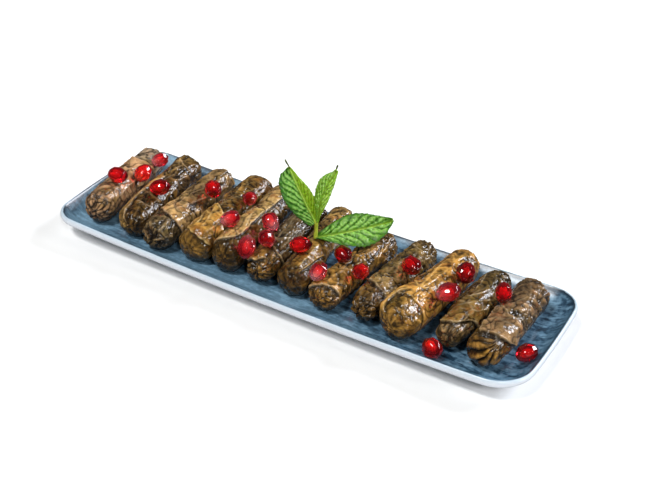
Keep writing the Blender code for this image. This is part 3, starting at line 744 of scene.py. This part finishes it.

# %% [markdown]
# From left to right no two rolls are alike, so each has its own entry: its leaves' middle colours, the pale
# colour of their veins and of the highlight painted on their edges, how crinkled they are, and the lines. A
# line is its kind, its height in mm and its points. The first line, where it is an edge, also parts the two
# leaves' colours. An edge covers what is on its left as it is drawn.

# %% What each roll looks like
LOOKS = {
    "dolma_01": dict(base="b59a7c", cover="b58c63", rim="b59c78", crinkle=0.9, fine=0.4, end=1.1, lines=[
        ("edge", 0.50, [(49, -60), (45.5, -10), (45.5, 30), (47, 80)]),
        ("ridge", 0.40, [(7, -40), (10, -10), (14, 12)]),
        ("ridge", 0.35, [(5, 20), (6.5, 50)]),
        ("ridge", 0.35, [(9, 18), (10, 48)]),
        ("ridge", 0.30, [(36, -35), (34, 0), (38, 25)]),
        ("vein", 0.25, [(12, 60), (25, 52), (44, 62)])]),
    "dolma_02": dict(base="64471e", cover="876735", rim="c9ab86", lines=[
        ("edge", 0.55, [(40, -2), (33, -14), (27, -24), (18, -29), (5, -32), (-4, -40)]),
        ("vein", 0.35, [(52, 62), (53.5, 12), (59, -28)]),
        ("vein", 0.30, [(53.5, 12), (44, -8)]),
        ("ridge", 0.35, [(37, 10), (40, 38), (50, 58)]),
        ("crease", 0.35, [(38, -8), (43, -22), (50, -40)]),
        ("vein", 0.20, [(12.5, 60), (12.2, 10), (12.8, -26)])]),
    "dolma_03": dict(fine=0.7, base="745f3e", cover="8e7045", rim="c2a283", end=1.5, pleat=0.6, lines=[
        ("edge", 0.65, [(14.5, 110), (11.7, 45), (12.8, 0), (15, -25), (20, -70)]),
        ("ridge", 0.40, [(5, 95), (8, 70), (8, 45)]),
        ("ridge", 0.45, [(7, 38), (10, 12), (9, -15)]),
        ("crease", 0.35, [(4, 60), (9.5, 40), (9, 20)]),
        ("vein", 0.25, [(18, 10), (30, 32), (48, 62)]),
        ("ridge", 0.30, [(22, -30), (24, 5)])]),
    "dolma_04": dict(end=0.2, fine=0.4, base="825e29", cover="946d30", rim="dcbd80", crinkle=1.1, lines=[
        ("edge", 0.55, [(38, -80), (33, -38), (28, -5), (24, 20), (18, 45), (13, 80)]),
        ("edge", 0.40, [(5, 80), (2.8, 62), (2.3, 45), (2.0, 20), (3.0, -8), (7, -42), (13.5, -68)]),
        ("vein", 0.35, [(24, -45), (19.8, -12), (16.8, 12)]),
        ("vein", 0.30, [(5, 30), (12, 36), (19, 34)]),
        ("vein", 0.30, [(6, 12), (14, 8), (26, -12)]),
        ("vein", 0.28, [(7, -10), (14, -18), (22, -40)]),
        ("vein", 0.22, [(10, 10), (16, 22)]),
        ("crease", 0.30, [(20, -2), (28, -36)]),
        ("ridge", 0.35, [(42, -5), (50, -12), (58, -20)])]),
    "dolma_05": dict(end=0.5, fine=0.5, base="805d29", cover="a2814c", rim="d9bb8c", crinkle=0.7, lines=[
        ("edge", 0.70, [(70, 22), (50, 27), (40, 22), (28, 19), (16, 20), (9, 12), (6, -8), (5, -40),
                        (7, -90)]),
        ("edge", 0.70, [(43, -45), (38.5, -12), (37, 6), (39, 22)]),
        ("vein", 0.30, [(11, 16), (14, 2), (17, -18)]),
        ("vein", 0.22, [(18, 12), (25, 2), (34, -8)]),
        ("ridge", 0.35, [(34, 18), (33.5, 2), (37, -25)]),
        ("crease", 0.50, [(36, 30), (40, 6), (41, -8)]),
        ("ridge", 0.30, [(48, -35), (53, -5), (52, 22)]),
        ("ridge", 0.40, [(5, 28), (10, 60)])]),
    "dolma_06": dict(base="805d29", cover="402c10", rim="d4b888", end=1.3, lines=[
        ("edge", 0.55, [(14, 120), (11.5, 55), (12, 20), (15, -15), (18, -60)]),
        ("edge", 0.80, [(5, 30), (2.8, 0), (2.2, -35), (4, -75)]),
        ("ridge", 0.40, [(8, 22), (12, 40)])]
        + [("ridge", 0.35, [(13, a), (21, 1.15 * a), (28, 0.9 * a)]) for a in (18, 34, 50, 66)]
        + [("ridge", 0.30, [(25, a), (32, a + 5), (38, a - 2), (46, a + 3)]) for a in range(-18, 70, 11)]),
    "dolma_07": dict(end=0.5, fine=0.5, base="ac864b", cover="694b1f", rim="d8b266", crinkle=0.8, lines=[
        ("edge", 0.75, [(29, -60), (31, -20), (32, 10), (33.5, 32), (34, 72), (34.5, 95)]),
        ("vein", 0.50, [(29.5, -60), (31.5, -20), (32.5, 10), (34, 32), (34.5, 72), (35, 95)]),
        ("edge", 0.50, [(27, 66), (18, 47), (9, 37), (3, 24)]),
        ("vein", 0.25, [(5, 8), (15, 15), (28, 18)]),
        ("crease", 0.35, [(6, -28), (15, -22), (22, -30)]),
        ("ridge", 0.35, [(6, -5), (9, -18), (16, -12)]),
        ("ridge", 0.30, [(5, 45), (6, 75)])]),
    "dolma_08": dict(base="996f32", cover="85602a", rim="dcb98a", crinkle=1.3, lines=[
        ("edge", 0.80, [(7, 85), (5, 35), (3.8, 0), (2.8, -40), (4, -85)]),
        ("crease", 0.55, [(21, 10), (30, 0), (43, -42)]),
        ("ridge", 0.45, [(5, 7), (13, 5), (23, 10)]),
        ("ridge", 0.35, [(8, 30), (12, 42), (16, 34)]),
        ("ridge", 0.40, [(33, 8), (38, 22), (46, 30)]),
        ("ridge", 0.35, [(41, 66), (50, 50), (57, 52)]),
        ("crease", 0.35, [(34, 50), (44, 44), (50, 30)])]),
    "dolma_09": dict(base="6a4c20", cover="765d33", rim="c9b08a", crinkle=1.5, net=1.8, end=1.6,
                     pleats=8, pleat=0.9, lines=[
        ("edge", 0.75, [(12, 100), (12.5, 45), (13.5, 10), (15, -20), (19, -70)]),
        ("vein", 0.45, [(49.5, 38), (51, 0), (55, -38)]),
        ("vein", 0.45, [(49.5, 38), (53, 52), (58, 74)]),
        ("ridge", 0.35, [(25, 22), (30, 10), (38, -8)]),
        ("ridge", 0.45, [(3, 65), (5, 30), (8, 8)]),
        ("ridge", 0.40, [(8, 60), (10, 30)]),
        ("crease", 0.40, [(4, 45), (8, 18)]),
        ("ridge", 0.35, [(3, -25), (8, -38), (12, -30)])]),
    "dolma_10": dict(end=0.4, fine=0.4, base="a47937", cover="c89244", rim="dcb36c", crinkle=0.7, lines=[
        ("edge", 0.22, [(11, 130), (13.2, 70), (13.5, 30), (14, 0), (13, -30), (8, -75)]),
        ("edge", 0.95, [(19, 0), (17.2, -8), (15, -21), (12.5, -34), (6.5, -37), (1, -40)]),
        ("crease", 0.55, [(7, -15), (11, -17), (15, -12)]),
        ("ridge", 0.40, [(14, -18), (17, -4), (24, 2)]),
        ("vein", 0.28, [(21, 4), (25, 18), (29, 34)]),
        ("vein", 0.28, [(21, 4), (32, 12), (44, 15)]),
        ("vein", 0.28, [(21, 4), (25, -18), (29, -42)]),
        ("vein", 0.28, [(21, 4), (34, -6), (48, -20)]),
        ("ridge", 0.45, [(6, 60), (9, 75), (12, 95)]),
        ("ridge", 0.35, [(8, 46), (11, 58)]),
        ("ridge", 0.35, [(5, 2), (8, 14), (10, 12)]),
        ("ridge", 0.30, [(40, 36), (50, 12), (60, 10)])]),
    "dolma_11": dict(fine=0.6, base="a68557", cover="6e5427", rim="bda882", crinkle=0.8, lines=[
        ("edge", 1.00, [(18, 110), (15, 60), (10, 33), (6.5, 22), (5, 8), (4.5, -20), (6, -70)]),
        ("ridge", 0.40, [(8, 31), (15, 30), (19, 36)]),
        ("crease", 0.40, [(7, 25), (15, 25)]),
        ("vein", 0.32, [(15, 16), (21, 44), (28, 68)]),
        ("vein", 0.32, [(18, -4), (25, 25), (33, 50)]),
        ("vein", 0.28, [(23, -16), (30, 8), (37, 22)]),
        ("vein", 0.25, [(30, -14), (42, -24), (50, -44)]),
        ("ridge", 0.45, [(4, 42), (6, 62), (9, 60)]),
        ("crease", 0.40, [(31, 55), (35, 72)]),
        ("ridge", 0.30, [(46, -10), (50, 10), (48, 35)])]),
    "dolma_12": dict(base="9d7234", cover="795e3f", rim="b8a07a", crinkle=0.9, fine=0.3, end=0.3,
                     pleats=15, pleat=3.0, knot=(6.0, 6.5), grain=(3.6, 9.0), lines=[
        ("edge", 1.25, [(20, 110), (17.5, 98), (12, 66), (9.5, 42), (8.4, 22), (7.6, 4), (6.8, -14),
                        (7, -34), (11, -43), (18, -43), (23, -46), (32, -66)]),
        ("gap", 1.50, [(4.8, -40), (5.0, -22), (5.4, -4), (6.2, 12), (7.4, 28)]),
        ("fold", 0.80, [(23, 4), (21.5, 36), (23.5, 95)]),
        ("vein", 0.45, [(21, 20), (24, 2), (28, -22), (36, -65)]),
        ("crease", 0.40, [(25, 12), (25.5, 40), (28, 90)])]
        + [("fold", 0.80, [(a, 8), (a + 4, 34), (a + 9, 95)]) for a in (27, 32.5, 38, 44, 50)]),
}

print("looks for", len(LOOKS), "rolls, with", sum(len(look["lines"]) for look in LOOKS.values()), "lines")

# %% Shape and dress the twelve rolls
rolls = []
for number, (name, look) in enumerate(LOOKS.items(), 1):
    roll = piece_from(name, name + "_leaf")
    frame_of_roll = find_axis(coordinates(roll.data))
    apply_modifier(roll, "SUBSURF", levels=ROLL_LEVELS, render_levels=ROLL_LEVELS)
    apply_modifier(roll, "REMESH", mode="VOXEL", voxel_size=SKIN_GRAIN)
    apply_modifier(roll, "SMOOTH", factor=0.5, iterations=SKIN_SMOOTHING)
    shape_leaf(roll.data, frame_of_roll, number, look)
    pick(roll)
    bpy.ops.object.shade_smooth()
    skin = boiled_vine_leaf(f"boiled_vine_leaf_{number:02d}", look["base"], look["cover"], look["rim"])
    finish(roll, skin, "vine_leaf", name)
    rolls.append(roll)
print("rolls:", len(rolls), "with", sum(len(roll.data.polygons) for roll in rolls), "faces in all")

# %% [markdown]
# ## Pomegranate seeds
# A seed is clear ruby flesh, taut and wet, pressed into soft facets by its neighbours in the fruit, round
# a pale kernel. The flesh is mostly juice, so it is clear and coloured, with an IOR of 1.38, a little over
# water's. It runs from dark red to a paler tip, where the seed grew on the white rind, and four kinds of
# it make the seeds as different as they are in a fruit. A bevel softens the solid's facets. The kernel is
# a small drop inside, and gives the seed its pale glow.

# %% Ruby flesh and pale kernel
FLESH_IOR = 1.38


def ruby_flesh(name, clear, *stops):
    """Wet, clear flesh of a pomegranate seed, coloured from its root to its tip."""
    material, tree, shader = new_material(name)
    tip = add_node(tree, "ShaderNodeAttribute", {"attribute_name": "tip"}).outputs["Fac"]
    ramp = add_node(tree, "ShaderNodeValToRGB", None, None, Fac=tip)
    set_ramp(ramp, stops)
    tree.links.new(ramp.outputs["Color"], shader.inputs["Base Color"])
    set_inputs(shader, {"Transmission Weight": clear, "IOR": FLESH_IOR, "Roughness": 0.03,
                        "Subsurface Weight": 0.3, "Subsurface Radius": (1.0, 0.12, 0.08),
                        "Subsurface Scale": 2.0 * MM, "Coat Weight": 0.5, "Coat Roughness": 0.02})
    return material


kernel_material = grained("pale_seed_kernel", 2 * MM, [(0.3, "ff8a60"), (0.7, "ffe0c0")], 0.5)
deep = ruby_flesh("ruby_flesh_deep", 0.88,
                  (0.05, "60000a"), (0.40, "d80c18"), (0.75, "e0141c"), (1.0, "f04038"))
bright = ruby_flesh("ruby_flesh_bright", 0.88,
                    (0.05, "8a0210"), (0.35, "f02024"), (0.70, "f43028"), (1.0, "ff8a68"))
dark = ruby_flesh("ruby_flesh_dark", 0.90, (0.05, "5a0008"), (0.50, "b80814"), (1.0, "d01420"))
pale_tip = ruby_flesh("ruby_flesh_pale_tip", 0.82,
                      (0.10, "90020e"), (0.45, "e62836"), (0.75, "ee5864"), (0.96, "fcc4c8"))
print("kinds of flesh:", [flesh.name for flesh in (deep, bright, dark, pale_tip)])

# %% Seeds and kernels
SEED_NODES = sorted(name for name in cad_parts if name.startswith("seed_"))
FLESH_OF = {2: bright, 14: bright, 19: bright, 12: dark, 16: dark}
FLESH_OF.update({number: pale_tip for number in (3, 6, 7, 8, 9, 10, 13, 17)})
TIP_RIGHT = (8, 13)
SEED_BEVEL = 0.4 * MM
KERNEL_HALF_SIZES = (2.7 * MM, 1.5 * MM, 1.5 * MM)

kernels = []
for number, name in enumerate(SEED_NODES, 1):
    seed = piece_from(name, name + "_flesh")
    points = coordinates(seed.data)
    middle = points.mean(axis=0)
    axis = np.linalg.svd(points - middle, full_matrices=False)[2][0]
    axis *= np.sign(axis[0]) * (1 if number in TIP_RIGHT else -1)
    along = (points - middle) @ axis
    apply_modifier(seed, "BEVEL", width=SEED_BEVEL, segments=3, limit_method="NONE")
    bevelled = (coordinates(seed.data) - middle) @ axis
    set_attribute(seed.data, "tip", (bevelled - along.min()) / (along.max() - along.min()))
    pick(seed)
    bpy.ops.object.shade_smooth()
    finish(seed, FLESH_OF.get(number, deep), "pomegranate_seed", name)
    bpy.ops.object.select_all(action="DESELECT")
    bpy.ops.mesh.primitive_uv_sphere_add(segments=14, ring_count=8, radius=1.0, location=middle)
    kernel = bpy.context.active_object
    kernel.scale = KERNEL_HALF_SIZES
    kernel.rotation_euler = Vector(axis).to_track_quat("X", "Z").to_euler()
    bpy.ops.object.transform_apply(location=True, rotation=True, scale=True)
    bpy.ops.object.shade_smooth()
    kernels.append(kernel)

bpy.ops.object.select_all(action="DESELECT")
for kernel in kernels:
    kernel.select_set(True)
bpy.context.view_layer.objects.active = kernels[0]
bpy.ops.object.join()
kernels[0].name = "seed_kernels"
finish(kernels[0], kernel_material, "pomegranate_seed")
print("seeds:", len(SEED_NODES), "with", len(kernels), "kernels")

# %% [markdown]
# ## Mint
# The sprig is one short stem with three leaves: a pair that stands up in a V and one that lies to the
# right. A mint leaf is quilted, because its skin bulges between veins that are sunk into it, and its rim
# has small teeth that point to the tip. Each leaf starts as a flat grid. Its points are then bent along
# the midrib's curve to the solid's outline, which is given as the width of each half at nine places from
# stalk to tip. The quilting comes from a formula: one bulge between each two side veins, which leave the
# midrib and lean towards the tip.

# %% A mint leaf from a flat grid
MINT_FOOT = np.array([2.0, 0.0]) * MM
STEM_HEIGHT = 9.5 * MM
STEM_REACH = 1.3 * MM
LEAF_ROWS = 130
LEAF_COLUMNS = 64
LEAF_THICKNESS = 0.35 * MM
SIDE_VEINS = 7.5
QUILT_HEIGHT = 1.05 * MM
MIDRIB_DEPTH = 0.50 * MM
TEETH = 15
TOOTH_DEPTH = 0.05
WIDTH_AT = (0, 0.1, 0.25, 0.4, 0.55, 0.7, 0.85, 0.95, 1.0)


def bend_leaf(leaf, base, reach, facing, arch, sweep, lean, left_widths, right_widths):
    """Give a flat grid the outline, bow and quilting of a mint leaf, and keep its veins as attributes."""
    flat = coordinates(leaf.data)
    share = (flat[:, 0] + 1) / 2
    side = flat[:, 1]
    reach = np.array(reach) * MM
    length = np.linalg.norm(reach)
    along = reach / length
    across = np.cross(np.array(facing), along)
    across /= np.linalg.norm(across)
    normal = np.cross(along, across)
    bow = 4 * share * (1 - share)
    spine = base + np.outer(share, reach) + np.outer(sweep * MM * bow, across)
    left = np.interp(share, WIDTH_AT, left_widths)
    right = np.interp(share, WIDTH_AT, right_widths)
    half = MM * np.where(side > 0, left, right)
    tooth = (TEETH * share + 0.3 * np.sign(side)) % 1
    toothed = TOOTH_DEPTH * (tooth ** 1.5 - 0.4) * np.abs(side) ** 6 * smooth_step(share, 0.15, 0.4)
    half = half * (1 + toothed)
    wander = 0.22 * noise_at(flat * 2.3, 5.5)
    phase = SIDE_VEINS * (share - lean * np.abs(side) ** 0.85) + wander + 0.25 * np.sign(side)
    bulge = np.abs(np.sin(math.pi * phase)) ** 0.6
    valley = np.exp(-((phase - np.round(phase)) / 0.085) ** 2)
    rib = np.exp(-(side * half / (0.45 * MM)) ** 2)
    room = np.clip(half / (3.5 * MM), 0, 1) * (1 - np.abs(side) ** 5) * (1 - rib)
    puckers = noise_at(np.stack([share * length, side * half, 0 * side], 1) / (1.7 * MM), 2.2, True)
    cup = 0.20 * half.max() * np.abs(side) ** 1.5
    wave = 0.35 * MM * np.sin(11 * share + 2 * side) * np.abs(side) ** 3
    height = arch * MM * bow + cup + wave - MIDRIB_DEPTH * rib
    height += QUILT_HEIGHT * room * (bulge + 0.50 * puckers)
    points = spine + across * (half * side)[:, None] + normal * height[:, None]
    set_coordinates(leaf.data, points)
    set_attribute(leaf.data, "quilt", np.clip(room * (bulge + 0.50 * puckers), 0, 1.3) / 1.3)
    set_attribute(leaf.data, "valley", valley * (1 - rib) * np.clip(half / (3 * MM), 0, 1))
    set_attribute(leaf.data, "rib", rib)
    set_attribute(leaf.data, "side", side)


def mint_leaf(name, base, *shape):
    """A leaf as thick as mint, bent from a flat grid."""
    bpy.ops.object.select_all(action="DESELECT")
    bpy.ops.mesh.primitive_grid_add(x_subdivisions=LEAF_ROWS, y_subdivisions=LEAF_COLUMNS, size=2)
    leaf = bpy.context.active_object
    leaf.name = name
    bend_leaf(leaf, base, *shape)
    apply_modifier(leaf, "SOLIDIFY", thickness=LEAF_THICKNESS, offset=-1.0)
    pick(leaf)
    bpy.ops.object.shade_smooth()
    return leaf


print("each leaf's grid has", LEAF_ROWS, "by", LEAF_COLUMNS, "squares, and", TEETH, "teeth a side")

# %% [markdown]
# Fresh mint is a waxy, soft green. Painted light colours it: a pale blue-green highlight on the bulges,
# painted shade in the sunken veins, and a painted yellow-green where a leaf is seen against the light. So
# one material has both colours, and an attribute says how yellow each point is. A little light passes under
# the surface of the leaf.

# %% Fresh mint
MINT_GRAIN = 1.3 * MM
WAX_IOR = 1.45


def mint_green(name, valley, skin, bulge, yellow):
    """Fresh leaf: waxy skin, IOR 1.45, soft light through it, painted shade in its sunken veins and valleys,
    painted highlight on its bulges, and painted yellow where backlit.
    """
    material, tree, shader = new_material(name)
    place = add_node(tree, "ShaderNodeTexCoord").outputs["Object"]
    read = {key: add_node(tree, "ShaderNodeAttribute", {"attribute_name": key}).outputs["Fac"]
            for key in ("quilt", "valley", "rib", "yellow")}
    grain = add_node(tree, "ShaderNodeTexNoise", None,
                     {"Scale": 1 / MINT_GRAIN, "Detail": 4.0, "Roughness": 0.7}, Vector=place).outputs["Fac"]
    mottle = add_node(tree, "ShaderNodeMath", {"operation": "MULTIPLY_ADD"}, {1: 0.6, 2: -0.05}, _0=grain)
    total = add_node(tree, "ShaderNodeMath", {"operation": "MULTIPLY_ADD"}, {1: 0.7},
                     _0=read["quilt"], _2=mottle.outputs["Value"]).outputs["Value"]
    # Painted shade in the valleys and painted highlight on the bulges, from the quilt's height, over the
    # leaf's own mottle.
    ramp = add_node(tree, "ShaderNodeValToRGB", None, None, Fac=total)
    set_ramp(ramp, [(0.12, valley), (0.60, skin), (1.0, bulge)])
    # Painted yellow where the leaf is backlit.
    sunny = tint(tree, read["yellow"], ramp.outputs["Color"], yellow)
    # Painted shade in the sunken veins.
    shaded = add_node(tree, "ShaderNodeMath", {"operation": "MULTIPLY"}, {1: 0.35}, _0=read["valley"])
    veined = tint(tree, shaded.outputs["Value"], sunny, valley)
    tree.links.new(tint(tree, read["rib"], veined, "b9d65e"), shader.inputs["Base Color"])
    bump = add_node(tree, "ShaderNodeBump", None, {"Strength": 0.35, "Distance": 0.2 * MM}, Height=grain)
    tree.links.new(bump.outputs["Normal"], shader.inputs["Normal"])
    set_inputs(shader, {"Roughness": 0.42, "IOR": WAX_IOR, "Subsurface Weight": 0.25,
                        "Subsurface Radius": (0.3, 1.0, 0.1), "Subsurface Scale": 1.0 * MM})
    return material


mint_material = mint_green("fresh_mint_leaf", "174505", "3f7a14", "96c860", "88ac18")
print("mint's material has", len(mint_material.node_tree.nodes), "nodes")

# %% The three mint leaves
sprig_points = coordinates(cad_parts["mint_sprig"].data)
near_stem = np.hypot(*(sprig_points[:, :2] - MINT_FOOT).T) < STEM_REACH
mint_foot = np.array([*MINT_FOOT, sprig_points[near_stem, 2].min()])

# How high on the stem each leaf starts, its reach, the way it faces, its arch, sweep and veins' lean, and
# the widths of its left and right halves. Lengths are in mm.
MINT_LEAVES = {
    "mint_leaf_left": (0.90, (-18.9, 5.0, 22.0), (0.30, -0.80, 0.50), 1.5, 0.2, 0.45,
                       (3.0, 4.6, 6.7, 7.8, 8.4, 8.3, 7.4, 5.2, 0.3),
                       (0.9, 2.2, 4.2, 5.2, 4.8, 3.5, 1.9, 0.9, 0.3)),
    "mint_leaf_right": (0.96, (-0.8, 18.2, 19.5), (0.90, -0.30, 0.26), 1.5, 4.6, 0.40,
                        (0.5, 1.8, 3.6, 5.2, 6.2, 6.0, 3.8, 1.5, 0.3),
                        (0.6, 1.4, 2.8, 4.2, 5.0, 4.4, 2.4, 1.0, 0.3)),
    "mint_leaf_lying": (0.04, (27.5, 26.5, 5.2), (0.15, -0.50, 0.85), 1.5, -1.4, 0.30,
                        (0.6, 2.6, 5.8, 7.7, 8.1, 6.6, 3.9, 1.7, 0.2),
                        (0.6, 3.4, 6.8, 9.0, 10.4, 9.6, 6.8, 3.0, 0.2)),
}
# How much painted yellow backlight each leaf gets, from its right side at -1 to its left side at 1.
BACKLIGHT_YELLOW = {"mint_leaf_left": lambda side: 1 - smooth_step(side, -0.15, 0.10),
          "mint_leaf_right": lambda side: 0.75 - 0.3 * smooth_step(side, -0.2, 0.5),
          "mint_leaf_lying": lambda side: 0.10 + 0 * side}
for name, (height, *shape) in MINT_LEAVES.items():
    leaf = mint_leaf(name, mint_foot + UP * STEM_HEIGHT * height, *shape)
    side = np.empty(len(leaf.data.vertices))
    leaf.data.attributes["side"].data.foreach_get("value", side)
    set_attribute(leaf.data, "yellow", BACKLIGHT_YELLOW[name](side))
    finish(leaf, mint_material, "mint", "mint_sprig")
    print(name, "has", len(leaf.data.polygons), "faces")

# %% [markdown]
# The stem is juicy and has long fibres, and it widens where the leaves leave it. The two upright leaves
# end in a thin dry point. Stem and points are drawn upwards as by hand: a ring is extruded from step to
# step and resized on the way.

# %% Draw the stem and the dry points


def drawn_ring(name, path, radii, sides=16):
    """Extrude a ring along a path that rises, with its own radius at each step. All in millimetres."""
    bpy.ops.object.select_all(action="DESELECT")
    bpy.ops.mesh.primitive_circle_add(vertices=sides, radius=radii[0] * MM, fill_type="NGON",
                                      location=[v * MM for v in path[0]])
    thing = bpy.context.active_object
    thing.name = name
    bpy.ops.object.transform_apply(location=True, rotation=True, scale=True)
    bpy.ops.object.mode_set(mode="EDIT")
    bpy.ops.mesh.select_all(action="SELECT")
    for here, there, wide, narrow in zip(path, path[1:], radii, radii[1:]):
        move = [(b - a) * MM for a, b in zip(here, there)]
        bpy.ops.mesh.extrude_region_move(TRANSFORM_OT_translate={"value": move})
        bpy.ops.transform.resize(value=(narrow / wide,) * 3)
    bpy.ops.mesh.select_all(action="SELECT")
    bpy.ops.mesh.normals_make_consistent(inside=False)
    bpy.ops.object.mode_set(mode="OBJECT")
    apply_modifier(thing, "SUBSURF", levels=1, render_levels=1)
    pick(thing)
    bpy.ops.object.shade_smooth()
    return thing


def path_from(start, steps):
    """Steps in mm from a place in metres, as a path in mm."""
    return [tuple(start / MM + np.array(step)) for step in steps]


stem = drawn_ring("mint_stem", path_from(mint_foot, [(0, 0, 0), (0.1, 0, 0.3), (0.1, 0, 3), (0, 0.1, 6),
                                                     (-0.2, 0.2, 8.5), (-0.4, 0.4, 10.5)]),
                  (0.8, 1.1, 0.95, 0.95, 1.15, 0.9))
fibres = grained("juicy_mint_stem", 1.5 * MM, [(0.3, "8fa51c"), (0.7, "d3de52")], 0.38, WAX_IOR,
                 stretch=(4.0, 4.0, 0.6))
finish(stem, fibres, "mint", "mint_sprig")

dry_skin = grained("dry_leaf_point", 1.2 * MM, [(0.35, "20260e"), (0.7, "6d7a34")], 0.6)
DRY_POINTS = {
    "mint_leaf_left": [(0.3, 0.1, -1.0), (-0.1, 0, 0.3), (-0.8, -0.4, 1.6), (-1.4, -0.9, 3.0),
                       (-1.8, -1.1, 4.3)],
    "mint_leaf_right": [(0, -0.4, -1.0), (0.1, 0, 0.3), (0.3, 0.2, 1.3), (0.5, 0.3, 2.2), (0.6, 0.3, 3.0)],
}
for name, steps in DRY_POINTS.items():
    height, reach = MINT_LEAVES[name][:2]
    tip = mint_foot + UP * STEM_HEIGHT * height + np.array(reach) * MM
    point = drawn_ring(name + "_point", path_from(tip, steps), (0.5, 0.3, 0.5, 0.6, 0.3), sides=8)
    finish(point, dry_skin, "mint", "mint_sprig")
print("stem of", len(stem.data.polygons), "faces, and", len(DRY_POINTS), "dry points")
